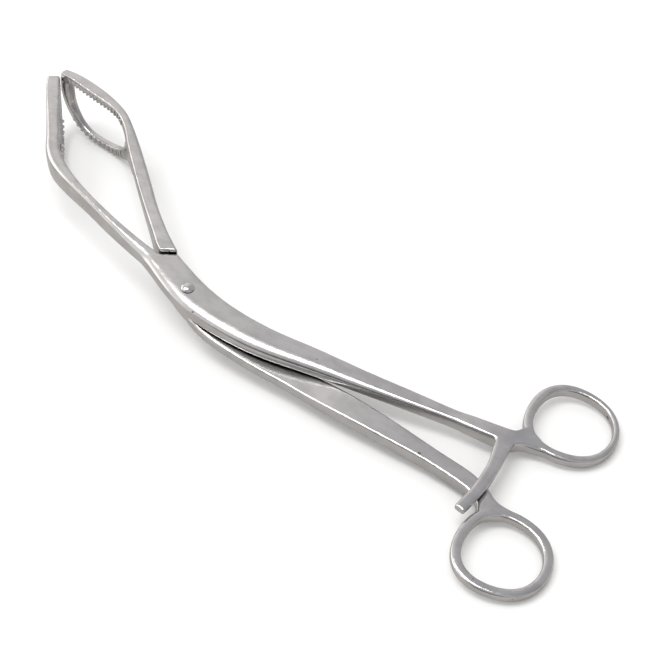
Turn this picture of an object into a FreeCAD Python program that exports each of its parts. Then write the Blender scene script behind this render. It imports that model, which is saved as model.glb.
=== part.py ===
import FreeCAD, Part
import math
import os

# Uterine elevating forceps, 9 in along the bend, shown closed and lying on a table.
# Laid out flat first: X across the rings, Y from the rings to the jaws, Z up,
# with z = 0 on the top face of the joint. Lengths are in mm.
V = FreeCAD.Vector

# Centreline, measured from the middle of the finger rings
STRAIGHT = 77.0
BEND_R = 91.8
BEND_DEG = 34.0
PIN_S = 116.3
REST_TILT = 5.08

# Finger rings
RING_X = 23.86
HOLE_R = 11.0
HOLE_WIDE = 0.012
HOLE_FLAT = 0.024
HOLE_SQUARE = 0.019
RING_WALL = 2.6
RING_HIGH = 3.2
RING_TOP = -1.9

# Joint
LAP = 5.2
LAP_GAP = 0.05
LAP_BASE = -8.8
PIN_R = 1.5
PIN_RUNNING = 0.04
HEAD_R = 1.95
HEAD_EDGE = 0.25
HEAD_RISE = 0.7
PEEN_R = 2.3
PEEN_DEEP = 0.8
FLAT_REACH = 13.0

# Ratchet bars, both struck about the pin
BAR_FROM = 12.9
BAR_WIDE = 3.0
UPPER_BAR_Z = (-1.6, 0.6)
UPPER_BAR_DEG = (-0.6, 15.3)
LOWER_BAR_Z = (-4.4, -1.9)
LOWER_BAR_DEG = (1.9, 8.6)
RATCHET_PITCH_DEG = 1.0
RATCHET_DEEP = 0.7
RATCHET_TEETH = 5

# Shanks: distance along, inner side, outer side, top, bottom, drop of the outer edge,
# corner radius, radius of the rolled inner edge on top
UPPER_SHANK = [
    (0.0, 11.1, 13.3, -2.2, -4.8, 0.0, 0.8, 0.8),
    (6.0, 9.3, 13.2, -1.9, -4.9, 0.1, 0.9, 0.9),
    (12.0, 7.4, 12.3, -1.0, -4.9, 0.6, 0.9, 0.9),
    (18.0, 6.8, 11.6, -0.3, -4.8, 0.9, 0.8, 0.7),
    (30.0, 6.6, 10.8, 0.0, -4.7, 1.2, 0.8, 0.6),
    (43.0, 5.1, 10.5, 0.0, -4.7, 1.4, 0.8, 0.6),
    (57.0, 3.6, 9.7, 0.0, -4.7, 1.4, 0.8, 0.7),
    (75.0, 1.7, 9.1, 0.0, -4.7, 1.1, 0.8, 1.5),
    (90.0, -0.7, 7.7, 0.0, -4.8, 0.7, 0.8, 2.0),
    (104.0, -3.0, 6.2, 0.0, -5.0, 0.3, 0.7, 2.0),
    (112.0, -4.4, 5.5, 0.0, -5.15, 0.1, 0.6, 1.6),
    (118.0, -4.9, 5.1, 0.0, -5.2, 0.0, 0.6, 1.2),
    (124.0, -5.0, 4.8, 0.0, -5.2, 0.0, 0.6, 0.8),
]
LOWER_SHANK = [
    (0.0, -11.1, -13.3, -2.2, -4.8, 0.0, 0.8, 0.8),
    (6.0, -8.6, -12.9, -2.1, -5.0, 0.1, 0.9, 0.9),
    (12.0, -5.3, -11.0, -2.2, -5.7, 0.5, 0.9, 0.8),
    (18.0, -4.5, -10.1, -2.2, -6.3, 0.9, 0.8, 0.6),
    (30.0, -2.9, -8.4, -2.2, -6.6, 1.0, 0.8, 0.6),
    (43.0, -1.0, -7.5, -2.3, -6.7, 1.0, 0.8, 0.6),
    (57.0, 0.6, -6.4, -2.9, -7.1, 1.0, 0.8, 0.6),
    (68.0, 1.2, -5.0, -4.2, -7.9, 0.8, 0.8, 0.6),
    (78.0, 1.7, -3.6, -5.3, -8.5, 0.6, 0.8, 0.6),
    (90.0, 2.9, -3.4, -5.35, -8.8, 0.4, 0.8, 0.6),
    (104.0, 4.3, -4.2, -5.3, -8.95, 0.1, 0.7, 0.6),
    (112.0, 4.8, -3.7, -5.25, -8.95, 0.0, 0.6, 0.6),
    (118.0, 5.0, -3.4, -5.25, -8.95, 0.0, 0.6, 0.6),
    (124.0, 4.6, -2.6, -5.25, -8.95, 0.0, 0.6, 0.6),
    (130.0, 4.2, -1.2, -5.25, -8.6, 0.0, 0.6, 0.6),
    (138.0, 4.4, 0.7, -5.0, -7.0, 0.0, 0.6, 0.6),
]

# Jaw arms and loops seen from above: distance along, distance right of the centreline
UPPER_OUTER = [(120.0, -4.4), (129.0, -4.9), (139.4, -7.2), (150.2, -9.8), (161.0, -12.3),
               (172.5, -14.6), (180.5, -15.1), (186.8, -14.3), (192.9, -12.0), (200.4, -8.8),
               (206.5, -6.3), (212.5, -3.6)]
UPPER_INNER = [(133.5, -1.6), (138.0, -2.9), (146.8, -5.8), (156.6, -8.5), (168.2, -10.9),
               (178.5, -11.7), (185.2, -10.7), (191.0, -8.5), (197.2, -6.2), (202.8, -3.8),
               (209.0, -1.25), (216.0, 1.75)]
LOWER_OUTER = [(130.2, 4.3), (138.7, 4.9), (146.0, 6.0), (159.5, 8.9), (172.2, 11.5),
               (184.5, 13.7), (191.0, 14.3), (196.0, 13.7), (200.8, 12.5), (206.0, 10.7),
               (211.0, 8.4)]
LOWER_INNER = [(134.5, -0.5), (141.6, 0.9), (151.3, 2.7), (162.3, 5.0), (176.9, 8.4),
               (185.5, 10.8), (191.5, 11.4), (196.3, 10.2), (201.0, 8.3), (206.5, 6.1),
               (216.0, 2.1)]
UPPER_NOSE = (216.6, -0.6)
LOWER_NOSE = (216.0, 5.2)
SHOULDER = [(132.2, -0.35), (129.9, 4.2)]
SHOULDER_GAP = 0.35
HEEL = [(124.0, 4.3), (120.0, 4.3)]

# Jaw arms and loops seen from the side: distance along, height
ARM_TOP = {"upper": [(100.0, 0.0), (230.0, 0.0)],
           "lower": [(100.0, 1.3), (133.0, 1.3), (150.0, 0.5), (162.0, 0.0), (230.0, 0.0)]}
ARM_BASE = {"upper": [(100.0, -5.2), (128.0, -5.2), (146.0, -5.2), (160.0, -5.2)],
            "lower": [(100.0, -8.8), (124.0, -8.8), (134.0, -7.2), (147.0, -4.4), (160.0, -4.0)]}
LOOP_BASE = [(169.0, -5.2), (176.5, -7.2), (183.0, -11.2), (189.0, -17.0), (194.0, -20.3),
             (200.0, -21.5), (207.0, -21.3), (212.0, -19.2), (215.3, -15.0), (217.0, -10.0),
             (217.4, -4.0)]
LOOP_HOLE = [(211.8, -4.4), (206.5, -2.4), (199.0, -2.6), (192.0, -3.2), (186.8, -4.4),
             (184.6, -7.4), (188.5, -11.9), (194.0, -15.1), (199.5, -15.6), (204.9, -13.5),
             (209.5, -9.9)]

JAW_REACH = 60.0
NOSE_FRONT = (230.0, -2.0)

# Serrations across the biting faces of the loops
TEETH_FROM = 190.5
TEETH_PITCH = 1.7
TEETH = 15
TOOTH_R = 0.75
TOOTH_DEEP = 0.45


# Places a point given by its distance along and to the right of the centreline
def bend(s, w, z=0.0):
    turn = math.radians(BEND_DEG)
    a = min(max((s - STRAIGHT) / BEND_R, 0.0), turn)
    ahead = max(s - STRAIGHT - BEND_R * turn, 0.0)
    x = BEND_R * (1 - math.cos(a)) + ahead * math.sin(a) + w * math.cos(a)
    y = min(s, STRAIGHT) + BEND_R * math.sin(a) + ahead * math.cos(a) - w * math.sin(a)
    return V(x, y, z)


# Places a side-view point in the upright plane that the jaws run along
def side(s, z, w=0.0):
    turn = math.radians(BEND_DEG)
    end = STRAIGHT + BEND_R * turn
    foot = bend(end, 0.0)
    x = foot.x + (s - end) * math.sin(turn) + w * math.cos(turn)
    y = foot.y + (s - end) * math.cos(turn) - w * math.sin(turn)
    return V(x, y, z)


# One rounded four-sided section across a shank
def shank_section(s, inner, outer, top, bottom, drop, corner, roll):
    ring = [bend(s, inner, top), bend(s, outer, top - drop),
            bend(s, outer, bottom + drop), bend(s, inner, bottom)]
    edges = []
    last = None
    first = None
    for i in range(4):
        here = ring[i]
        radius = roll if i == 0 else corner
        back = (ring[i - 1] - here).normalize() * radius
        ahead = (ring[(i + 1) % 4] - here).normalize() * radius
        start = here + back
        stop = here + ahead
        middle = (start + stop) * 0.25 + here * 0.5
        if last is None:
            first = start
        else:
            edges.append(Part.makeLine(last, start))
        edges.append(Part.Arc(start, middle, stop).toShape())
        last = stop
    edges.append(Part.makeLine(last, first))
    return Part.Wire(edges)


def shank(rows):
    return Part.makeLoft([shank_section(*row) for row in rows], True, False)


# Finger ring: an oval section carried round a rounded-square, flattened path
def finger_ring(side_sign):
    points = []
    for i in range(16):
        a = 2 * math.pi * i / 16
        grow = 1 - HOLE_WIDE * math.cos(2 * a) + HOLE_FLAT * math.sin(3 * a)
        grow -= HOLE_SQUARE * math.cos(4 * a)
        r = HOLE_R * grow + RING_WALL / 2
        points.append(V(side_sign * (RING_X + r * math.cos(a)), r * math.sin(a), 0))
    path = Part.BSplineCurve()
    path.interpolate(Points=points, PeriodicFlag=True)
    middle = V(points[0].x, points[0].y, RING_TOP - RING_HIGH / 2)
    path.translate(V(0, 0, middle.z))
    tall = middle + V(0, 0, RING_HIGH / 2)
    wide = middle + V(RING_WALL / 2, 0, 0)
    section = Part.Wire([Part.Ellipse(tall, wide, middle).toShape()])
    return Part.Wire([path.toShape()]).makePipeShell([section], True, True)


def spline(points):
    curve = Part.BSplineCurve()
    curve.interpolate(points)
    return curve.toShape()


# Arm and loop blank: the outline from above, raised to full height
def plan_blank(outer, inner, nose, heel):
    out = [bend(*p) for p in outer]
    inn = [bend(*p) for p in inner]
    tip = Part.Arc(out[-1], bend(*nose), inn[-1]).toShape()
    heel_points = [inn[0]] + [bend(*p) for p in heel] + [out[0]]
    edges = [spline(out), tip, spline(inn)]
    edges += [Part.makeLine(a, b) for a, b in zip(heel_points, heel_points[1:])]
    wire = Part.Wire(Part.__sortEdges__(edges))
    face = Part.Face(wire)
    face.translate(V(0, 0, -30))
    return face.extrude(V(0, 0, 40))


# Side view of the arm and loop, carried across both jaws, with the loop opening left out
def side_blank(lever):
    across = side(0, 0, JAW_REACH) - side(0, 0, -JAW_REACH)
    top = [side(s, z, -JAW_REACH) for s, z in ARM_TOP[lever]]
    base = [side(s, z, -JAW_REACH) for s, z in ARM_BASE[lever] + LOOP_BASE]
    last = side(*NOSE_FRONT, -JAW_REACH)
    edges = [Part.makeLine(a, b) for a, b in zip(top, top[1:])]
    edges += [Part.makeLine(top[0], base[0]), spline(base)]
    edges += [Part.makeLine(base[-1], last), Part.makeLine(last, top[-1])]
    blank = Part.Face(Part.Wire(Part.__sortEdges__(edges))).extrude(across)
    hole = Part.BSplineCurve()
    hole.interpolate(Points=[side(s, z, -JAW_REACH) for s, z in LOOP_HOLE], PeriodicFlag=True)
    opening = Part.Face(Part.Wire([hole.toShape()])).extrude(across)
    return blank.cut(opening)


def jaw(lever, outer, inner, nose, heel):
    return plan_blank(outer, inner, nose, heel).common(side_blank(lever))


def rounded(shape, radius, keep):
    edges = [e for e in shape.Edges if keep(e)]
    return shape.makeFillet(radius, edges)


# Round grooves across the biting face, running from the top limb down through the lower one
def serrations(inner, sign):
    curve = spline([bend(*p) for p in inner]).Curve
    cutters = []
    first = curve.parameter(bend(TEETH_FROM, inner[-5][1]))
    start = curve.length(curve.FirstParameter, first)
    for i in range(TEETH):
        u = curve.parameterAtDistance(start + i * TEETH_PITCH)
        along = curve.tangent(u)[0]
        out = V(along.y, -along.x, 0) * sign
        centre = curve.value(u) + out * (TOOTH_R - TOOTH_DEEP)
        cutters.append(Part.makeCylinder(TOOTH_R, 30, centre + V(0, 0, -25)))
    return cutters


def pin_centre(z=0.0):
    return bend(PIN_S, 0.0, z)


# Ratchet bar: a flat strip struck about the pin, between two angles from the handle line
def bar(low, high, from_deg, to_deg):
    c = pin_centre()
    inner = V(c.x, BAR_FROM, low)
    box = [inner, inner - V(0, BAR_WIDE, 0), inner + V(0, -BAR_WIDE, high - low),
           inner + V(0, 0, high - low)]
    face = Part.Face(Part.makePolygon(box + box[:1]))
    face.rotate(c, V(0, 0, 1), -from_deg)
    solid = face.revolve(c, V(0, 0, 1), from_deg - to_deg)
    return solid


def near_end(edge, end_deg):
    c = pin_centre()
    m = edge.CenterOfMass - c
    deg = math.degrees(math.atan2(-m.x, -m.y))
    return abs(deg - end_deg) < 0.02


# Saw-shaped cuts across a ratchet bar; rise is +1 for cuts in an underside, -1 for a top face
def ratchet_cuts(face_z, rise, first_deg):
    c = pin_centre()
    step = math.radians(RATCHET_PITCH_DEG) * (c.y - BAR_FROM + BAR_WIDE / 2)
    y = BAR_FROM + 0.5
    cuts = []
    for i in range(RATCHET_TEETH):
        corners = [V(c.x, y, face_z - rise * 0.2), V(c.x, y, face_z + rise * RATCHET_DEEP),
                   V(c.x - rise * step * 0.9, y, face_z - rise * 0.2)]
        cut = Part.Face(Part.makePolygon(corners + corners[:1])).extrude(V(0, -BAR_WIDE - 1, 0))
        cut.rotate(c, V(0, 0, 1), -(first_deg + i * RATCHET_PITCH_DEG))
        cuts.append(cut)
    return cuts


def upper_lever():
    heel = [(s, w - SHOULDER_GAP) for s, w in SHOULDER]
    heel = [(s - SHOULDER_GAP, w) for s, w in heel] + HEEL
    arm = jaw("upper", UPPER_OUTER, UPPER_INNER, UPPER_NOSE, heel)
    arm = arm.cut(serrations(UPPER_INNER, 1))
    grip = bar(*UPPER_BAR_Z, *UPPER_BAR_DEG)
    grip = rounded(grip, 0.5, lambda e: near_end(e, UPPER_BAR_DEG[1]))
    grip = grip.cut(ratchet_cuts(UPPER_BAR_Z[0], 1, 3.0))
    body = shank(UPPER_SHANK).fuse([finger_ring(1), grip, arm])
    bore = Part.makeCylinder(PIN_R + PIN_RUNNING, 3 * LAP, pin_centre(-2 * LAP))
    return body.cut(bore).removeSplitter()


def lower_lever():
    arm = jaw("lower", LOWER_OUTER, LOWER_INNER, LOWER_NOSE, SHOULDER)
    arm = arm.cut(serrations(LOWER_INNER, -1))
    grip = bar(*LOWER_BAR_Z, *LOWER_BAR_DEG)
    grip = grip.cut(ratchet_cuts(LOWER_BAR_Z[1], -1, 3.0))
    body = shank(LOWER_SHANK).fuse([finger_ring(-1), grip, arm])
    bore = Part.makeCylinder(PIN_R, -2 * LAP_BASE, pin_centre(2 * LAP_BASE))
    peen = Part.makeCone(PEEN_R, PIN_R, PEEN_DEEP, pin_centre(LAP_BASE))
    below = Part.makeCylinder(FLAT_REACH, LAP, pin_centre(LAP_BASE - LAP))
    return body.cut([bore, peen, below]).removeSplitter()


# Domed head, plain shaft and a tail spread into the countersink underneath
def pivot_pin():
    face_z = LAP_GAP
    shaft = Part.makeCylinder(PIN_R, face_z - LAP_BASE, pin_centre(LAP_BASE))
    tail = Part.makeCone(PEEN_R, PIN_R, PEEN_DEEP, pin_centre(LAP_BASE))
    head = Part.makeCylinder(HEAD_R, HEAD_EDGE + HEAD_RISE, pin_centre(face_z))
    ball_r = (HEAD_R ** 2 + HEAD_RISE ** 2) / (2 * HEAD_RISE)
    ball = Part.makeSphere(ball_r, pin_centre(face_z + HEAD_EDGE + HEAD_RISE - ball_r))
    return shaft.fuse([tail, head.common(ball)]).removeSplitter()


# Tilts the flat layout so that it stands on its rings and loops, centred over its footprint
def lay_down(shapes):
    for shape in shapes.values():
        shape.rotate(V(0, 0, 0), V(1, 0, 0), REST_TILT)
    box = Part.Compound(list(shapes.values())).optimalBoundingBox(False, False)
    for shape in shapes.values():
        shape.translate(V(-box.Center.x, -box.Center.y, -box.ZMin))


os.makedirs("parts", exist_ok=True)
parts = {"upper_lever": upper_lever(), "lower_lever": lower_lever(), "pivot_pin": pivot_pin()}
lay_down(parts)
for name, shape in parts.items():
    shape.exportStep("parts/" + name + ".step")
    print(name, shape.ShapeType, len(shape.Solids), shape.isValid(), round(shape.Volume, 1))
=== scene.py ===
# %% [markdown]
# # Uterine elevating forceps
# Two steel levers cross in a lap joint and turn on one pin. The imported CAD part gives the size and
# the moving bodies, and this script builds the polished forceps over it: two levers with rolled
# edges and serrated loops, and the pin's domed head, on a white table. Lengths are in millimetres
# until a helper turns them into metres.

# %% Load the frame
import bpy
import bmesh
import math
from mathutils import Matrix, Vector


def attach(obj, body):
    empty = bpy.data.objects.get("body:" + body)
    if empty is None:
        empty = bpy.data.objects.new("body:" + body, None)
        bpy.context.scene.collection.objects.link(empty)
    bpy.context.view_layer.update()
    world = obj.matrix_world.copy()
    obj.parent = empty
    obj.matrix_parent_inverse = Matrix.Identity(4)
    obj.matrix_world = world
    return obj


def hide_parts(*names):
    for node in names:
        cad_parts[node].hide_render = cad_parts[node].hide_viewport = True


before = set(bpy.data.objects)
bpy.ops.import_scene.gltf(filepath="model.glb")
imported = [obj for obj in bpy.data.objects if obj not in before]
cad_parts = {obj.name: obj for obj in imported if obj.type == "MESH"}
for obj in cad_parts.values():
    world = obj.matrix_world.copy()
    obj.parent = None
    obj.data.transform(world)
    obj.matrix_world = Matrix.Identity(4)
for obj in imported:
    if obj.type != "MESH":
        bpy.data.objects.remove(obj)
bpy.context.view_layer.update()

# %% [markdown]
# ## The flat layout
# Seen from above, the forceps bends by 34 degrees between its handle and its jaws, so its points are
# easiest to give along a bent centreline: s runs from the finger rings to the tips, w points to the
# right and z up from the top face of the joint. Typing points in the room's own X, Y and Z would
# hide that order. The loops hang lower than the rings, so the forceps then tilts by 5 degrees, and
# it moves onto the table.

# %% Centreline
STRAIGHT, BEND_R, BEND_DEG, PIN_S = 77.0, 91.8, 34.0, 116.3
TILT = 5.08
SHIFT = (-15.5193, -93.3224, 6.1897)


def place(x, y, z):
    flat = Matrix.Rotation(math.radians(TILT), 3, "X") @ Vector((x, y, z))
    return (flat + Vector(SHIFT)) / 1000


def bend(s, w, z=0.0):
    turn = math.radians(BEND_DEG)
    a = min(max((s - STRAIGHT) / BEND_R, 0.0), turn)
    ahead = max(s - STRAIGHT - BEND_R * turn, 0.0)
    x = BEND_R * (1 - math.cos(a)) + ahead * math.sin(a) + w * math.cos(a)
    y = min(s, STRAIGHT) + BEND_R * math.sin(a) + ahead * math.cos(a) - w * math.sin(a)
    return place(x, y, z)


print("pin at", [round(c, 4) for c in bend(PIN_S, 0.0)])

# %% [markdown]
# ## Rows between rows
# A forged bar changes its section slowly along its length. It could be drawn with hundreds of
# sections, but a few measured rows are easier to read and to correct. A smooth curve through them
# (Catmull-Rom) fills in the rows between, for every number of a row at once.

# %% Fill in
def filled_in(rows, steps):
    out = []
    for i in range(len(rows) - 1):
        four = [rows[max(i - 1, 0)], rows[i], rows[i + 1], rows[min(i + 2, len(rows) - 1)]]
        for k in range(steps):
            t = k / steps
            out.append([0.5 * (2 * b + (c - a) * t + (2 * a - 5 * b + 4 * c - d) * t ** 2
                               + (3 * b - a - 3 * c + d) * t ** 3) for a, b, c, d in zip(*four)])
    out.append(list(rows[-1]))
    return out


print("two rows become", len(filled_in([(0.0, 1.0), (1.0, 2.0)], steps=4)))

# %% [markdown]
# ## Sections and skins
# A section of a bar is a box whose four corners are rounded by grinding, each in its own way. A
# bevel modifier would round them all alike, so every corner gets its own width and depth here. The
# corners come in the order top near, top far, bottom far, bottom near. A skin then joins the
# sections into one closed shell.

# %% Section and skin
WIDEST_ROLL, DEEPEST_ROLL = 0.72, 0.49
SOFT = (0.8, 0.8)


def rounded_box(wide, high, corners, count=6):
    points = []
    turns = ((0, high, 180), (wide, high, 90), (wide, 0, 0), (0, 0, 270))
    for (u, v, start), (ru, rv) in zip(turns, corners):
        ru, rv = min(ru, wide * WIDEST_ROLL), min(rv, high * DEEPEST_ROLL)
        cu = ru if u == 0 else u - ru
        cv = rv if v == 0 else v - rv
        for i in range(count):
            a = math.radians(start - 90 * i / (count - 1))
            points.append((cu + ru * math.cos(a), cv + rv * math.sin(a)))
    return points


def skin(work, sections, closed=False):
    rows = [[work.verts.new(p) for p in section] for section in sections]
    pairs = list(zip(rows, rows[1:])) + ([(rows[-1], rows[0])] if closed else [])
    for a, b in pairs:
        for i in range(len(a)):
            j = (i + 1) % len(a)
            work.faces.new((a[i], a[j], b[j], b[i]))
    if not closed:
        work.faces.new(rows[0][::-1])
        work.faces.new(rows[-1])


print("a rounded box has", len(rounded_box(2, 1, [(0.3, 0.3)] * 4)), "points")

# %% [markdown]
# ## Upper shank
# The shank is the long handle bar. It flares into its finger ring at one end and is half of the lap
# joint at the other. Its near top edge is ground into a broad roll, which carries the long white
# reflection. A row holds s, left edge, right edge, top, bottom, how much the far edge is thinner,
# and the roll's width and depth.

# %% Upper shank rows
UPPER_SHANK = [
    (0.0, 11.2, 12.8, -2.4, -4.6, 0.0, 0.7, 0.7), (3.0, 10.75, 13.4, -1.8, -4.8, 0.0, 0.7, 0.7),
    (6.0, 10.2, 14.9, -1.5, -4.9, 0.0, 0.7, 0.7), (8.0, 9.8, 15.9, -1.3, -4.9, 0.2, 0.7, 0.7),
    (9.6, 9.1, 16.6, -0.9, -4.9, 0.5, 0.7, 0.7), (10.9, 7.9, 15.6, -0.4, -4.9, 0.8, 0.7, 0.7),
    (12.0, 7.2, 13.4, 0.1, -4.9, 0.7, 0.7, 0.7), (13.6, 6.8, 12.3, 0.45, -4.9, 0.6, 0.8, 0.8),
    (18.0, 6.6, 11.7, 0.55, -4.8, 0.7, 1.2, 0.9), (24.0, 6.5, 11.3, 0.35, -4.7, 0.9, 1.7, 1.2),
    (30.0, 6.4, 10.8, 0.1, -4.7, 1.1, 2.1, 1.4), (43.0, 5.0, 10.5, 0.0, -4.6, 1.2, 2.6, 1.7),
    (57.0, 3.3, 9.7, 0.0, -4.4, 0.9, 3.3, 2.0), (75.0, 1.2, 9.1, 0.0, -4.3, 0.5, 4.2, 2.2),
    (90.0, -1.2, 7.7, 0.0, -4.6, 0.3, 4.6, 2.3), (104.0, -3.3, 6.2, 0.0, -5.0, 0.2, 4.6, 2.4),
    (112.0, -4.5, 5.5, 0.0, -5.15, 0.1, 4.4, 2.4), (118.0, -4.9, 5.1, 0.0, -5.2, 0.0, 4.2, 2.4),
    (124.0, -5.0, 4.8, 0.0, -5.2, 0.0, 4.0, 2.4), (127.8, -5.15, 4.55, 0.0, -5.2, 0.0, 3.8, 2.4),
    (131.67, -5.8, 4.3, 0.0, -5.2, 0.0, 3.6, 2.4)]
print("upper shank:", len(UPPER_SHANK), "rows")

# %% [markdown]
# ## Lower shank
# The lower shank has the same build and sharper edges. It runs under the upper one from the middle
# of the handle on, so its top sinks from 2 mm to 5 mm below the top of the joint.

# %% Lower shank rows
LOWER_SHANK = [
    (0.0, -12.8, -11.2, -2.4, -4.6, 0.0, 0.7, 0.7), (3.0, -13.4, -10.7, -1.95, -4.9, 0.0, 0.7, 0.7),
    (6.0, -14.9, -10.5, -1.9, -5.0, 0.0, 0.7, 0.7), (8.0, -15.9, -9.9, -1.9, -5.1, 0.0, 0.7, 0.7),
    (9.6, -16.8, -8.9, -1.95, -5.3, 0.0, 0.7, 0.7), (10.9, -16.0, -7.9, -2.0, -5.5, 0.0, 0.7, 0.7),
    (12.0, -13.6, -7.2, -2.1, -5.6, 0.0, 0.7, 0.7), (13.6, -12.0, -6.5, -2.2, -5.8, 0.0, 0.6, 0.6),
    (18.0, -10.3, -4.8, -2.2, -6.3, 0.0, 0.6, 0.6), (30.0, -8.4, -2.9, -2.2, -6.6, 0.0, 0.6, 0.6),
    (43.0, -7.5, -0.6, -2.3, -6.7, 0.0, 0.6, 0.6), (57.0, -6.4, 1.6, -2.9, -7.1, 0.0, 0.6, 0.6),
    (68.0, -5.0, 3.0, -4.2, -7.9, 0.0, 0.6, 0.6), (78.0, -3.7, 4.2, -5.0, -8.5, 0.0, 0.7, 0.6),
    (90.0, -3.6, 4.8, -5.2, -8.8, 0.0, 0.7, 0.7), (104.0, -4.3, 5.0, -5.3, -8.8, 0.0, 0.7, 0.7),
    (112.0, -3.7, 4.8, -5.25, -8.8, 0.0, 0.7, 0.7), (118.0, -3.4, 5.0, -5.25, -8.8, 0.0, 0.7, 0.7),
    (124.0, -2.6, 4.6, -5.25, -8.8, 0.0, 0.7, 0.7), (130.0, -1.2, 4.2, -5.25, -8.6, 0.0, 0.7, 0.7),
    (138.0, 0.7, 4.4, -5.0, -7.0, 0.0, 0.7, 0.7)]
print("lower shank:", len(LOWER_SHANK), "rows")

# %% [markdown]
# ## Loft a shank
# The upper shank doesn't end square: the other lever's shoulder stands against its end on a slant.
# The last sections therefore lean, more and more from the middle of the joint on. A boolean cut
# would do it too, but with leaning sections the loft stays one plain skin.

# %% Shank
LEAN_FROM, END_SLANT = 124.0, -0.5055


def shank(work, rows, slant):
    sections = []
    for s, left, right, top, bottom, thin, roll, deep in filled_in(rows, steps=4):
        lean = max(0.0, (s - LEAN_FROM) / (rows[-1][0] - LEAN_FROM)) * slant
        section = []
        for u, v in rounded_box(right - left, top - bottom, [(roll, deep)] + [SOFT] * 3):
            less = 1 - 2 * thin * u / (right - left) / (top - bottom)
            section.append(bend(s + lean * (left + u), left + u,
                                (top + bottom) / 2 + (v - (top - bottom) / 2) * less))
        sections.append(section)
    skin(work, sections)


print("the joint's end leans", END_SLANT, "mm along for each mm across")

# %% [markdown]
# ## Finger rings
# A finger ring is a flat bar bent into a loop, a little squared, with soft corners. A torus would
# be round both ways, so a flat section is carried round instead, and three waves shape the loop.
# One side of the wall is thinner: the inner edge is moved outwards there, by lean at the most.

# %% Ring
RING_X, RING_LOW, RING_COUNT = 23.86, -4.95, 96
RING_CORNERS = [(0.6, 0.6), (0.8, 0.8), (1.0, 1.0), (0.9, 0.9)]
OVAL, THREE_SIDED, SQUARED = 0.012, 0.024, 0.019
THIN_AT = 1.05


def finger_ring(work, side, hole, wall, top, lean):
    sections = []
    for i in range(RING_COUNT):
        a = math.tau * i / RING_COUNT
        grow = (1 - OVAL * math.cos(2 * a) + THREE_SIDED * math.sin(3 * a)
                - SQUARED * math.cos(4 * a))
        far = lean * (0.5 + 0.5 * math.cos(a + THIN_AT)) ** 2
        box = rounded_box(wall - far, top - RING_LOW, RING_CORNERS)
        reach = [(hole * grow + far + u, RING_LOW + v) for u, v in box]
        sections.append([place(side * (RING_X + r * math.cos(a)), r * math.sin(a), z)
                         for r, z in reach])
    skin(work, sections, closed=True)


print("ring centres", 2 * RING_X, "mm apart")

# %% [markdown]
# ## Ratchet bars
# Both bars are struck about the pin, so that they slide over each other as the forceps opens. The
# upper one is broad where it sinks into its shank, and it is cut square at its end. A straight bar
# would run off its mate. A row holds the angle about the pin, the near and the far edge, measured
# from the line through the ring centres, and the top.

# %% Bars
UPPER_BAR = [(-1.2, 10.9, 15.8, -0.4), (0.3, 10.9, 16.0, 0.2), (2.4, 10.9, 15.4, 0.5),
             (5.8, 10.4, 14.1, 0.6), (9.0, 10.0, 13.5, 0.6), (12.0, 9.9, 13.2, 0.6),
             (14.8, 9.85, 13.1, 0.6), (15.3, 9.95, 13.0, 0.5)]
LOWER_BAR = [(2.6, 11.6, 13.0, -1.9), (3.0, 11.3, 13.4, -1.9), (5.8, 10.8, 13.2, -1.9),
             (8.6, 10.3, 12.9, -1.9)]
PIN_TURN = (PIN_S - STRAIGHT) / BEND_R
PIN_X = BEND_R * (1 - math.cos(PIN_TURN))
PIN_Y = STRAIGHT + BEND_R * math.sin(PIN_TURN)


def bar(work, rows, low, soft):
    sections = []
    for degrees, near, far, high in filled_in(rows, steps=6):
        a = math.radians(degrees)
        section = []
        for u, v in rounded_box(far - near, high - low, [(soft, soft)] * 4):
            reach = PIN_Y - near - u
            section.append(place(PIN_X - reach * math.sin(a), PIN_Y - reach * math.cos(a), low + v))
        sections.append(section)
    skin(work, sections)


print("the bars lie about", round(PIN_Y - UPPER_BAR[0][1]), "mm from the pin")

# %% [markdown]
# ## Jaw arms
# Each arm is one loft from the joint to the tip, and its last third is the top limb of the loop. On
# the real forging it is one bar too. The sections don't stand square to the centreline, so a row
# gives s and w of the left edge, s and w of the right edge, top, bottom and the two top radii.

# %% Arm rows
UPPER_ARM = [
    (123.0, -4.2, 126.0, -0.6, -0.25, -5.0, 3.2, 0.5),
    (129.0, -5.0, 133.2, -1.2, -0.05, -5.2, 3.4, 0.8),
    (134.2, -5.75, 135.4, -1.9, 0.0, -5.3, 3.3, 0.8), (139.4, -7.2, 138.0, -2.9, 0.0, -5.5, 3.0, 0.9),
    (150.2, -9.8, 146.8, -5.8, 0.0, -6.2, 2.6, 0.9), (161.0, -12.3, 156.6, -8.5, 0.0, -6.3, 2.4, 0.9),
    (172.5, -14.9, 168.2, -10.9, 0.0, -7.2, 2.3, 0.9),
    (180.5, -15.8, 178.5, -11.7, 0.0, -7.6, 2.6, 0.8),
    (186.8, -14.8, 185.2, -10.7, 0.0, -4.6, 2.6, 0.7), (192.9, -12.2, 191.0, -8.5, 0.0, -3.2, 2.1, 0.6),
    (200.4, -9.2, 197.2, -6.2, 0.0, -2.9, 1.6, 0.5), (206.5, -6.9, 202.8, -3.8, 0.0, -2.8, 1.2, 0.4),
    (212.5, -4.6, 209.0, -1.3, 0.0, -3.2, 1.0, 0.4), (216.8, -2.4, 215.0, 1.2, -0.1, -4.6, 1.0, 0.5)]
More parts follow.
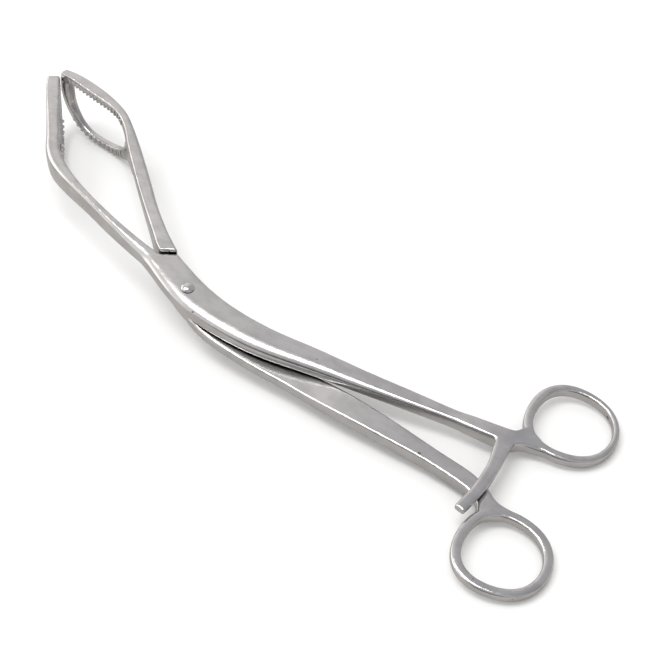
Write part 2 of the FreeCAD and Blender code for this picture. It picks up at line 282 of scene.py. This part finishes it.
LOWER_ARM = [
    (132.2, -0.35, 129.9, 4.25, 1.3, -8.6, 0.35, 0.35), (133.4, -0.4, 131.4, 4.3, 1.3, -8.3, 0.7, 0.5),
    (136.6, -0.1, 134.8, 4.5, 1.3, -7.4, 1.1, 0.7), (141.6, 0.9, 139.5, 5.0, 1.0, -6.0, 1.3, 0.8),
    (151.3, 2.7, 149.5, 6.6, 0.45, -4.6, 1.3, 0.8), (162.3, 5.0, 160.0, 9.0, 0.0, -4.2, 1.3, 0.9),
    (176.9, 8.4, 174.0, 11.9, 0.0, -4.6, 1.3, 1.0), (185.5, 10.8, 184.5, 13.7, 0.0, -4.2, 1.2, 1.0),
    (191.5, 11.4, 191.0, 14.3, 0.0, -3.4, 0.9, 1.0), (196.3, 10.2, 197.0, 13.5, 0.0, -3.0, 0.7, 1.0),
    (201.0, 8.3, 202.5, 12.0, 0.0, -2.8, 0.6, 0.9), (206.5, 6.1, 208.5, 9.7, 0.0, -2.7, 0.5, 0.9),
    (212.0, 3.9, 213.5, 7.2, 0.0, -3.2, 0.5, 0.9), (216.6, 1.9, 217.3, 4.6, -0.2, -4.6, 0.6, 0.9)]
print("arms:", len(UPPER_ARM), "and", len(LOWER_ARM), "rows")

# %% [markdown]
# ## Loft an arm
# A section lies on the line between its two edges. The left edge's roll is wider than deep, as the
# shank's is, and the bottom edges are soft like all hidden edges.

# %% Arm
ROLL_DEPTH = 0.7


def arm(work, rows):
    sections = []
    for sl, wl, sr, wr, top, bottom, roll, soft_right in filled_in(rows, steps=5):
        wide = math.hypot(sr - sl, wr - wl)
        corners = [(roll, ROLL_DEPTH * roll), (soft_right, soft_right)] + [SOFT] * 2
        box = rounded_box(wide, top - bottom, corners)
        sections.append([bend(sl + (sr - sl) * u / wide, wl + (wr - wl) * u / wide, bottom + v)
                         for u, v in box])
    skin(work, sections)


print("the arms' rolls are", ROLL_DEPTH, "as deep as wide")

# %% [markdown]
# ## Lower limbs
# The lower limb of a loop leaves the arm at the heel, drops about 20 mm and comes up again at the
# nose, round the loop's opening. A plate with a hole cut in it would have hard edges, and the limb
# is softly rounded, so it is a loft too. The loop hangs upright under the arm: a row pairs s and z
# of a point on its underside with s and z on the opening's edge, and gives its thickness. The
# biting line says how far to the side each jaw's inner face lies.

# %% Limb rows
UPPER_LIMB = [
    (168.0, -4.4, 178.5, -2.6, 3.6), (177.5, -7.6, 184.4, -5.0, 3.8), (183.0, -10.5, 187.4, -8.6, 3.5),
    (187.7, -14.3, 190.8, -12.4, 3.1), (191.5, -18.0, 194.4, -16.0, 2.7),
    (195.5, -20.5, 197.2, -18.3, 2.5), (200.5, -21.6, 200.9, -19.3, 2.4),
    (207.0, -21.5, 206.2, -19.3, 2.3), (212.2, -19.2, 210.4, -17.4, 2.6),
    (215.6, -14.6, 213.4, -13.2, 3.0), (216.9, -9.5, 214.5, -8.8, 3.3),
    (216.9, -2.6, 214.4, -2.8, 3.3)]
LOWER_LIMB = [
    (168.0, -4.6, 178.5, -2.6, 3.3), (176.5, -7.7, 184.0, -5.2, 3.5), (182.5, -12.6, 186.6, -10.3, 3.4),
    (187.7, -17.2, 190.2, -15.0, 3.1), (193.0, -20.4, 194.8, -18.0, 2.7),
    (200.0, -21.6, 200.6, -19.3, 2.4), (207.0, -21.5, 206.2, -19.3, 2.3),
    (212.2, -19.2, 210.4, -17.4, 2.6), (215.8, -14.6, 213.6, -13.2, 3.0),
    (217.4, -9.5, 214.8, -8.8, 3.3), (217.6, -2.6, 214.6, -2.8, 3.3)]
UPPER_BITE = [(168.2, -10.9), (178.5, -11.7), (185.2, -10.7), (191.0, -8.5), (197.2, -6.2),
              (202.8, -3.8), (209.0, -1.25), (217.4, 2.0)]
LOWER_BITE = [(169.0, 6.5), (176.9, 8.4), (185.5, 10.8), (191.5, 11.4), (196.3, 10.2),
              (201.0, 8.3), (206.5, 6.1), (217.4, 2.0)]
print("limbs:", len(UPPER_LIMB), "and", len(LOWER_LIMB), "rows")

# %% [markdown]
# ## Loft a limb
# The limb's inner face follows the biting line, and its thickness goes outwards from there, to the
# left on the upper lever and to the right on the lower one.

# %% Limb
LIMB_CORNERS = [(0.35, 0.35), (0.5, 0.5), (0.9, 0.9), (0.35, 0.35)]
LOOK_AT = 190.0


def between(table, s):
    for (s0, w0), (s1, w1) in zip(table, table[1:]):
        if s <= s1:
            return w0 + (w1 - w0) * (s - s0) / (s1 - s0)
    return table[-1][1]


def limb(work, rows, bite, outwards):
    sections = []
    for s_low, z_low, s_high, z_high, thick in filled_in(rows, steps=6):
        high = math.hypot(s_high - s_low, z_high - z_low)
        section = []
        for u, v in rounded_box(thick, high, LIMB_CORNERS):
            s = s_low + (s_high - s_low) * v / high
            z = z_low + (z_high - z_low) * v / high
            section.append(bend(s, between(bite, s) + outwards * u, z))
        sections.append(section)
    skin(work, sections)


apart = between(LOWER_BITE, LOOK_AT) - between(UPPER_BITE, LOOK_AT)
print("at s", LOOK_AT, "the biting faces are", round(apart, 1), "mm apart")

# %% [markdown]
# ## Shader helpers
# Both steels are built from the same few nodes. Three helpers keep the recipe short: one adds a
# node, one a stretched noise on the piece's own coordinates, and one maps a value to a new range.

# %% Shader helpers
def node(tree, kind, **values):
    made = tree.nodes.new(kind)
    for key, value in values.items():
        setattr(made, key, value)
    return made


def noise(tree, coords, scale, stretch, detail):
    mapping = node(tree, "ShaderNodeMapping")
    mapping.inputs["Scale"].default_value = stretch
    tree.links.new(coords, mapping.inputs["Vector"])
    made = node(tree, "ShaderNodeTexNoise")
    made.inputs["Scale"].default_value = scale
    made.inputs["Detail"].default_value = detail
    tree.links.new(mapping.outputs["Vector"], made.inputs["Vector"])
    return made.outputs["Fac"]


def spread(tree, value, low, high, out_low, out_high):
    made = node(tree, "ShaderNodeMapRange")
    numbers = (low, high, out_low, out_high)
    for key, number in zip(("From Min", "From Max", "To Min", "To Max"), numbers):
        made.inputs[key].default_value = number
    tree.links.new(value, made.inputs["Value"])
    return made.outputs["Result"]


print("helpers ready: node, noise, spread")

# %% [markdown]
# ## Steel's colour
# Used surgical steel is not one grey: it has broad smudges and a few dark pits. A photograph of steel
# would repeat and carry its own light, so noise makes the smudges and the pits. The corners and the
# gaps between the serrations get painted shade: ambient occlusion finds them, and the colour is
# multiplied darker there.

# %% Steel colour
SMUDGE_SCALE, SMUDGE_SPREAD = 260.0, (0.35, 0.6, 0.0, 1.0)
PIT_SCALE, PIT_SPREAD, PIT = 640.0, (0.85, 0.88, 0.0, 0.8), (0.12, 0.11, 0.1, 1)
# Painted shade: within CORNER_REACH of a corner the colour is multiplied towards a dark grey.
CORNER_REACH, CORNER_SHADE_SPREAD, CORNER_SHADE_COLOUR = 0.0012, (0.25, 0.8, 1.0, 0.0), (0.16, 0.15, 0.15, 1)


def smudged(tree, coords, colour, dark):
    mix = node(tree, "ShaderNodeMix", data_type="RGBA")
    mix.inputs["A"].default_value = (*dark, 1)
    mix.inputs["B"].default_value = (*colour, 1)
    smudge = noise(tree, coords, SMUDGE_SCALE, (1, 0.6, 1), 3.0)
    tree.links.new(spread(tree, smudge, *SMUDGE_SPREAD), mix.inputs["Factor"])
    return mix.outputs["Result"]


def pitted(tree, coords, colour):
    mix = node(tree, "ShaderNodeMix", data_type="RGBA")
    mix.inputs["B"].default_value = PIT
    spots = noise(tree, coords, PIT_SCALE, (1, 1, 1), 0.0)
    tree.links.new(spread(tree, spots, *PIT_SPREAD), mix.inputs["Factor"])
    tree.links.new(colour, mix.inputs["A"])
    return mix.outputs["Result"]


# Painted shade: where ambient occlusion finds a corner or a gap between serrations, the colour is
# darkened.
def painted_corner_shade(tree, colour):
    corner = node(tree, "ShaderNodeAmbientOcclusion", samples=8)
    corner.inputs["Distance"].default_value = CORNER_REACH
    mix = node(tree, "ShaderNodeMix", data_type="RGBA", blend_type="MULTIPLY")
    mix.inputs["B"].default_value = CORNER_SHADE_COLOUR
    tree.links.new(spread(tree, corner.outputs["AO"], *CORNER_SHADE_SPREAD), mix.inputs["Factor"])
    tree.links.new(colour, mix.inputs["A"])
    return mix.outputs["Result"]


# How far from a corner the painted shade reaches.
print("painted_shade lies within", CORNER_REACH * 1000, "mm of a corner")

# %% [markdown]
# ## The two steels
# The levers are satin: they were brushed along their length, which a stretched fine noise shows in
# the roughness and in a bump of 0.02 mm. The pin's head is a little brighter and smoother. One
# recipe with other numbers serves both.

# %% Steels
BRUSH_SCALE, BRUSH_RANGE, BRUSH_HEIGHT = 1900.0, (0.3, 0.7), 0.00002


def steel(name, colour, dark, rough_low, rough_high, bump):
    material = bpy.data.materials.new(name)
    material.use_nodes = True
    tree = material.node_tree
    shader = tree.nodes["Principled BSDF"]
    shader.inputs["Metallic"].default_value = 1.0
    coords = node(tree, "ShaderNodeTexCoord").outputs["Object"]
    # The colour gets smudges, pits, and painted shade in its corners.
    shown = painted_corner_shade(tree, pitted(tree, coords, smudged(tree, coords, colour, dark)))
    tree.links.new(shown, shader.inputs["Base Color"])
    brush = noise(tree, coords, BRUSH_SCALE, (1.0, 0.2, 1.0), 2.0)
    rough = spread(tree, brush, *BRUSH_RANGE, rough_low, rough_high)
    tree.links.new(rough, shader.inputs["Roughness"])
    bumps = node(tree, "ShaderNodeBump")
    bumps.inputs["Strength"].default_value = bump
    bumps.inputs["Distance"].default_value = BRUSH_HEIGHT
    tree.links.new(brush, bumps.inputs["Height"])
    tree.links.new(bumps.outputs["Normal"], shader.inputs["Normal"])
    return material


satin = steel("satin_steel", colour=(0.63, 0.62, 0.615), dark=(0.55, 0.54, 0.54),
              rough_low=0.17, rough_high=0.25, bump=0.15)
polish = steel("polished_steel_look", colour=(0.68, 0.67, 0.66), dark=(0.58, 0.57, 0.57),
               rough_low=0.1, rough_high=0.2, bump=0.1)
print("steels:", satin.name, polish.name)

# %% [markdown]
# ## Serration tree
# The biting faces are serrated with cross ridges, all much alike. They could be modelled one by
# one. Here a Geometry Nodes tree sets a small twelve-sided rod on every marked point, turned as the
# mark says. The rod's radius, length and steel are the tree's inputs. Realize Instances turns the
# copies into mesh, and Set Material gives them the lever's steel.

# %% Ridge tree
ROD_SIDES = 12


def ridge_inputs(tree):
    sockets = tree.interface
    sockets.new_socket("Geometry", in_out="INPUT", socket_type="NodeSocketGeometry")
    for label in ("Radius", "Length"):
        sockets.new_socket(label, in_out="INPUT", socket_type="NodeSocketFloat")
    sockets.new_socket("Material", in_out="INPUT", socket_type="NodeSocketMaterial")
    sockets.new_socket("Geometry", in_out="OUTPUT", socket_type="NodeSocketGeometry")


def ridge_tree():
    tree = bpy.data.node_groups.new("ridges", "GeometryNodeTree")
    ridge_inputs(tree)
    enter, leave = node(tree, "NodeGroupInput"), node(tree, "NodeGroupOutput")
    rod = node(tree, "GeometryNodeMeshCylinder")
    rod.inputs["Vertices"].default_value = ROD_SIDES
    turn = node(tree, "GeometryNodeInputNamedAttribute", data_type="FLOAT_VECTOR")
    turn.inputs["Name"].default_value = "turn"
    copies = node(tree, "GeometryNodeInstanceOnPoints")
    real = node(tree, "GeometryNodeRealizeInstances")
    paint = node(tree, "GeometryNodeSetMaterial")
    link = tree.links.new
    link(enter.outputs["Geometry"], copies.inputs["Points"])
    link(enter.outputs["Radius"], rod.inputs["Radius"])
    link(enter.outputs["Length"], rod.inputs["Depth"])
    link(rod.outputs["Mesh"], copies.inputs["Instance"])
    link(turn.outputs["Attribute"], copies.inputs["Rotation"])
    link(copies.outputs["Instances"], real.inputs["Geometry"])
    link(real.outputs["Geometry"], paint.inputs["Geometry"])
    link(enter.outputs["Material"], paint.inputs["Material"])
    link(paint.outputs["Geometry"], leave.inputs["Geometry"])
    return tree


RIDGES = ridge_tree()
print("ridge tree:", len(RIDGES.nodes), "nodes")

# %% [markdown]
# ## Marks for the ridges
# A ridge crosses the biting face, square to the line that it stands on. The marks follow that line
# at one pitch, and each carries the turn that lays a rod across the face.

# %% Marks
ACROSS = bend(200.0, 1.0) - bend(200.0, 0.0)


def evenly(points, pitch):
    marks = []
    left_over = 0.0
    for a, b in zip(points, points[1:]):
        length = (b - a).length
        run = left_over
        while run < length:
            marks.append((a.lerp(b, run / length), (b - a).normalized()))
            run += pitch / 1000
        left_over = run - length
    return marks


def marked_mesh(marks):
    mesh = bpy.data.meshes.new("ridge_points")
    mesh.from_pydata([spot for spot, _ in marks], [], [])
    turns = mesh.attributes.new("turn", "FLOAT_VECTOR", "POINT")
    for i, (_, along) in enumerate(marks):
        out = ACROSS - along * ACROSS.dot(along)
        turns.data[i].vector = along.cross(out).to_track_quat("Z", "Y").to_euler()
    return mesh


print("across the jaws:", [round(c, 2) for c in ACROSS.normalized()])

# %% [markdown]
# ## Grow the ridges
# The tree runs as a modifier on the marks. Its inputs are set by the sockets' identifiers before it
# is first evaluated, and the result is taken as a plain mesh, so nothing live is left.

# %% Ridges
def ridges(line, pitch, radius, length):
    marks = evenly(line, pitch)
    made = bpy.data.objects.new("ridges", marked_mesh(marks))
    bpy.context.scene.collection.objects.link(made)
    modifier = made.modifiers.new("ridges", "NODES")
    modifier.node_group = RIDGES
    values = {"Radius": radius / 1000, "Length": length / 1000, "Material": satin}
    for item in RIDGES.interface.items_tree:
        if item.item_type == "SOCKET" and item.in_out == "INPUT" and item.name in values:
            modifier[item.identifier] = values[item.name]
    graph = bpy.context.evaluated_depsgraph_get()
    baked = bpy.data.meshes.new_from_object(made.evaluated_get(graph))
    bpy.data.objects.remove(made)
    print(len(marks), "ridges")
    return baked


print("every ridge is of", satin.name)


# %% [markdown]
# ## Serrate a lever
# The lower limb has coarser ridges than the top one. The lines run along the middle of the limbs,
# stop before the heel and the nose, and lie a little inside the face, so that only part of each rod
# stands out.

# %% Serrate
LOW_FROM, LOW_TO, LOW_BELOW = 190.5, 213, -9
TOP_Z, TOP_FROM, TOP_TO = -1.7, 189, 215
LOW_RIDGE = {"pitch": 2.0, "radius": 0.6, "length": 1.9}
TOP_RIDGE = {"pitch": 1.6, "radius": 0.45, "length": 1.9}


def serrate(lever, rows, bite, inset):
    middle = [((a + c) / 2, (b + d) / 2) for a, b, c, d, _ in filled_in(rows, steps=6)]
    low_line = [bend(s, between(bite, s) + inset, z) for s, z in middle
                if LOW_FROM < s < LOW_TO and z < LOW_BELOW]
    top_line = [bend(s, between(bite, s) + inset, TOP_Z) for s in range(TOP_FROM, TOP_TO)]
    work = bmesh.new()
    work.from_mesh(lever.data)
    work.from_mesh(ridges(low_line, **LOW_RIDGE))
    work.from_mesh(ridges(top_line, **TOP_RIDGE))
    work.to_mesh(lever.data)
    work.free()


print("ridge pitch", LOW_RIDGE["pitch"], "mm below and", TOP_RIDGE["pitch"], "mm above")

# %% [markdown]
# ## One skin
# Shank, ring, bar, arm and limb overlap each other like parts of a clay model. A boolean union
# would leave sharp seams between them. A voxel remesh unites them into one skin of even squares,
# and rounds of smoothing blend every joint, as grinding and polishing do on the real forging.

# %% Unite a lever
VOXEL = 0.29
POLISH_ROUNDS, POLISH_FACTOR = 12, 0.5


def apply_modifiers(made):
    graph = bpy.context.evaluated_depsgraph_get()
    baked = bpy.data.meshes.new_from_object(made.evaluated_get(graph))
    made.modifiers.clear()
    made.data = baked


def united(name, work):
    bmesh.ops.recalc_face_normals(work, faces=work.faces)
    mesh = bpy.data.meshes.new(name)
    work.to_mesh(mesh)
    work.free()
    made = bpy.data.objects.new(name, mesh)
    bpy.context.scene.collection.objects.link(made)
    remesh = made.modifiers.new("one skin", "REMESH")
    remesh.mode = "VOXEL"
    remesh.voxel_size = VOXEL / 1000
    smooth = made.modifiers.new("polish", "SMOOTH")
    smooth.factor = POLISH_FACTOR
    smooth.iterations = POLISH_ROUNDS
    apply_modifiers(made)
    made.data.shade_smooth()
    made.data.materials.append(satin)
    print(name, len(made.data.polygons), "faces")
    return made


print("squares of", VOXEL, "mm, smoothed", POLISH_ROUNDS, "times")

# %% [markdown]
# ## Upper lever
# The upper lever carries the right ring, the long ratchet bar and the left jaw. It is one forging,
# so it becomes one piece. Its ridges are added after the remesh, which keeps them crisp.

# %% Build the upper lever
work = bmesh.new()
shank(work, UPPER_SHANK, slant=END_SLANT)
finger_ring(work, side=1, hole=10.65, wall=2.75, top=-1.5, lean=0.9)
bar(work, UPPER_BAR, low=-1.6, soft=0.5)
arm(work, UPPER_ARM)
limb(work, UPPER_LIMB, UPPER_BITE, outwards=-1)
upper = united("upper_lever_steel", work)
serrate(upper, UPPER_LIMB, UPPER_BITE, inset=-0.2)

# %% [markdown]
# ## Lower lever
# The lower lever carries the left ring, the short bar and the right jaw, whose shoulder stands up
# against the upper lever's end. Its shank ends square, hidden under that shoulder.

# %% Build the lower lever
work = bmesh.new()
shank(work, LOWER_SHANK, slant=0.0)
finger_ring(work, side=-1, hole=10.58, wall=2.93, top=-1.85, lean=0.2)
bar(work, LOWER_BAR, low=-4.4, soft=0.4)
arm(work, LOWER_ARM)
limb(work, LOWER_LIMB, LOWER_BITE, outwards=1)
lower = united("lower_lever_steel", work)
serrate(lower, LOWER_LIMB, LOWER_BITE, inset=0.2)

# %% [markdown]
# ## Pin
# The pin is turned on a lathe: a shallow dome, a rounded edge, a straight shaft and a tail that
# spreads into a countersink. Its profile is spun once round the pin's axis, which is how a lathe
# makes it. A row of the profile is a radius and a height above the joint's top face.

# %% Turn the pin
PIN_PROFILE = [(0.0, 0.99), (0.5, 0.95), (1.0, 0.83), (1.4, 0.66), (1.7, 0.46), (1.85, 0.34),
               (1.93, 0.22), (1.95, 0.06), (1.5, 0.055), (1.5, -8.0), (2.28, -8.79), (0.0, -8.79)]
PIN_STEPS, MERGE = 64, 1e-6


def turned(name, profile):
    work = bmesh.new()
    axis = (place(0, 0, 1) - place(0, 0, 0)).normalized()
    foot = bend(PIN_S, 0.0, 0.0)
    side = Vector((1, 0, 0))
    points = [work.verts.new(foot + (side * r + axis * z) / 1000) for r, z in profile]
    edges = [work.edges.new(pair) for pair in zip(points, points[1:])]
    bmesh.ops.spin(work, geom=points + edges, cent=foot, axis=axis, dvec=(0, 0, 0),
                   angle=math.tau, steps=PIN_STEPS)
    bmesh.ops.remove_doubles(work, verts=work.verts, dist=MERGE)
    bmesh.ops.recalc_face_normals(work, faces=work.faces)
    mesh = bpy.data.meshes.new(name)
    work.to_mesh(mesh)
    work.free()
    mesh.shade_smooth()
    made = bpy.data.objects.new(name, mesh)
    bpy.context.scene.collection.objects.link(made)
    return made


pin = turned("pin_domed_head", PIN_PROFILE)
pin.data.materials.append(polish)
print("pin:", len(pin.data.polygons), "faces")

# %% [markdown]
# ## Which piece moves with which body
# The levers turn about the pin, and the pin stays with the lower lever. Each finished piece rides
# on its CAD body and stands for that body's node, so it follows every pose.

# %% Ride and replace
for piece, body, cad_node in ((upper, "upper", "upper_lever"), (lower, "lower", "lower_lever"),
                              (pin, "lower", "pivot_pin")):
    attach(piece, body)
    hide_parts(cad_node)
    print(piece.name, "rides on", body, "and replaces", cad_node)

# %% [markdown]
# ## Table
# The forceps lies on a plain white surface. One flat sheet is enough, a little below the lowest
# point. Steel mirrors its table, and a white one would wash the levers' sides out, so mirrored rays
# see the same sheet in grey.

# %% Table
TABLE_HALF, TABLE_Z = 1.5, -0.0002
TABLE_WHITE, TABLE_IN_STEEL = (0.97, 0.97, 0.97, 1), (0.56, 0.545, 0.53, 1)


def sheet(name, half, z):
    work = bmesh.new()
    corners = [(-half, -half, z), (half, -half, z), (half, half, z), (-half, half, z)]
    work.faces.new([work.verts.new(c) for c in corners])
    mesh = bpy.data.meshes.new(name)
    work.to_mesh(mesh)
    work.free()
    made = bpy.data.objects.new(name, mesh)
    bpy.context.scene.collection.objects.link(made)
    return made


def white_surface():
    material = bpy.data.materials.new("white_table")
    material.use_nodes = True
    tree = material.node_tree
    matt = tree.nodes["Principled BSDF"]
    matt.inputs["Roughness"].default_value = 0.9
    matt.inputs["Specular IOR Level"].default_value = 0.0
    shade = node(tree, "ShaderNodeMix", data_type="RGBA")
    shade.inputs["A"].default_value = TABLE_WHITE
    shade.inputs["B"].default_value = TABLE_IN_STEEL
    rays = node(tree, "ShaderNodeLightPath")
    tree.links.new(rays.outputs["Is Glossy Ray"], shade.inputs["Factor"])
    tree.links.new(shade.outputs["Result"], matt.inputs["Base Color"])
    return material


table = sheet("table_top", TABLE_HALF, TABLE_Z)
table.data.materials.append(white_surface())
print("table:", 2 * TABLE_HALF, "m square")

# %% [markdown]
# ## Overhead light
# One soft box hangs over the table, as in a product photograph. It casts the short soft shadow
# beside the levers. A second light would cross that shadow with another.

# %% Light
BOX_AT, BOX_SIZE, BOX_WATTS = (-0.1, 0.25, 1.1), (0.35, 0.8), 5.2
box_data = bpy.data.lights.new("overhead", "AREA")
box_data.shape = "RECTANGLE"
box_data.size, box_data.size_y = BOX_SIZE
box_data.energy = BOX_WATTS
soft_box = bpy.data.objects.new("overhead", box_data)
soft_box.location = BOX_AT
soft_box.rotation_euler = (-Vector(BOX_AT)).to_track_quat("-Z", "Y").to_euler()
bpy.context.scene.collection.objects.link(soft_box)
print("light:", soft_box.name, BOX_WATTS, "W")

# %% [markdown]
# ## Room in the steel
# Steel shows what stands around it: a grey wall across the table, a bright panel over the rolled
# edges, and a dark corner behind the camera. The ramp gives that room's brightness from X = 1 to
# X = -1. It is cool towards the rings and warm towards the jaws, and brighter far along Y, where
# the left jaw's outer edge looks. Only mirrored rays see it, and an even pale sky lights the rest.

# %% Room
ROOM = [(0.0, 0.9), (0.2, 1.0), (0.3, 0.86), (0.4, 0.7), (0.5, 0.76), (0.58, 1.25), (0.66, 2.6),
        (0.78, 3.4), (0.86, 1.7), (0.92, 0.3), (1.0, 0.15)]
COOL, WARM, WARMER_ALONG = (0.53, 0.53, 0.55), (1.0, 0.975, 0.96), (0.0, 0.45, 0.0, 1.0)
BRIGHTER_ALONG = (0.78, 0.9, 1.0, 2.4)
SKY, SKY_STRENGTH = (1.0, 0.995, 0.985, 1), 0.84


def panel_brightness(tree, x):
    ramp = node(tree, "ShaderNodeValToRGB")
    ramp.color_ramp.interpolation = "B_SPLINE"
    for position, _ in ROOM[1:-1]:
        ramp.color_ramp.elements.new(position)
    for stop, (position, bright) in zip(ramp.color_ramp.elements, ROOM):
        stop.position = position
        stop.color = (bright, bright, bright, 1)
    tree.links.new(spread(tree, x, 1.0, -1.0, 0.0, 1.0), ramp.inputs["Fac"])
    return ramp.outputs["Color"]


def brighter_along(tree, y, colour):
    scale = node(tree, "ShaderNodeVectorMath", operation="SCALE")
    tree.links.new(colour, scale.inputs[0])
    tree.links.new(spread(tree, y, *BRIGHTER_ALONG), scale.inputs["Scale"])
    return scale.outputs["Vector"]


def tinted_along(tree, y, colour):
    tint = node(tree, "ShaderNodeMix", data_type="RGBA")
    tint.inputs["A"].default_value = (*COOL, 1)
    tint.inputs["B"].default_value = (*WARM, 1)
    tree.links.new(spread(tree, y, *WARMER_ALONG), tint.inputs["Factor"])
    both = node(tree, "ShaderNodeMix", data_type="RGBA", blend_type="MULTIPLY")
    both.inputs["Factor"].default_value = 1.0
    tree.links.new(colour, both.inputs["A"])
    tree.links.new(tint.outputs["Result"], both.inputs["B"])
    return both.outputs["Result"]


print("room: brightest", max(b for _, b in ROOM), "darkest", min(b for _, b in ROOM))

# %% [markdown]
# ## World
# The world joins the room and the sky. Real panels round the table would also throw light on it;
# Light Path tells a mirrored ray from the others, so the room is seen only in the steel.

# %% World
def studio(world):
    world.use_nodes = True
    tree = world.node_tree
    tree.nodes.clear()
    looking = node(tree, "ShaderNodeTexCoord").outputs["Generated"]
    parts = node(tree, "ShaderNodeSeparateXYZ")
    tree.links.new(looking, parts.inputs["Vector"])
    bright = brighter_along(tree, parts.outputs["Y"], panel_brightness(tree, parts.outputs["X"]))
    mirrored = node(tree, "ShaderNodeBackground")
    tree.links.new(tinted_along(tree, parts.outputs["Y"], bright), mirrored.inputs["Color"])
    even = node(tree, "ShaderNodeBackground")
    even.inputs["Color"].default_value = SKY
    even.inputs["Strength"].default_value = SKY_STRENGTH
    choose = node(tree, "ShaderNodeMixShader")
    tree.links.new(node(tree, "ShaderNodeLightPath").outputs["Is Glossy Ray"], choose.inputs["Fac"])
    tree.links.new(even.outputs["Background"], choose.inputs[1])
    tree.links.new(mirrored.outputs["Background"], choose.inputs[2])
    out = node(tree, "ShaderNodeOutputWorld")
    tree.links.new(choose.outputs["Shader"], out.inputs["Surface"])
    return world


bpy.context.scene.world = studio(bpy.data.worlds.new("studio_room"))
bpy.context.scene.view_settings.view_transform = "Standard"
print("world:", len(bpy.context.scene.world.node_tree.nodes), "nodes")

# %% [markdown]
# ## Camera
# The camera was worked out from the two finger rings in the photograph: two circles of one size,
# seen aslant, give its direction and distance. Its three axes are typed as found.

# %% Camera
CAMERA_AT = (-0.254486, -0.155766, 0.341503)
CAMERA_RIGHT = (0.468673, -0.883364, 0.003606)
CAMERA_UP = (0.663532, 0.354728, 0.658706)
CAMERA_BACK = (-0.583156, -0.306325, 0.752392)
SENSOR_MM, LENS_MM = 36.0, 83.07
camera_data = bpy.data.cameras.new("camera")
camera_data.sensor_width = SENSOR_MM
camera_data.lens = LENS_MM
camera = bpy.data.objects.new("camera", camera_data)
turn = Matrix((CAMERA_RIGHT, CAMERA_UP, CAMERA_BACK)).transposed()
camera.matrix_world = Matrix.Translation(CAMERA_AT) @ turn.to_4x4()
bpy.context.scene.collection.objects.link(camera)
bpy.context.scene.camera = camera
print("camera", round(Vector(CAMERA_AT).length, 3), "m from the middle")
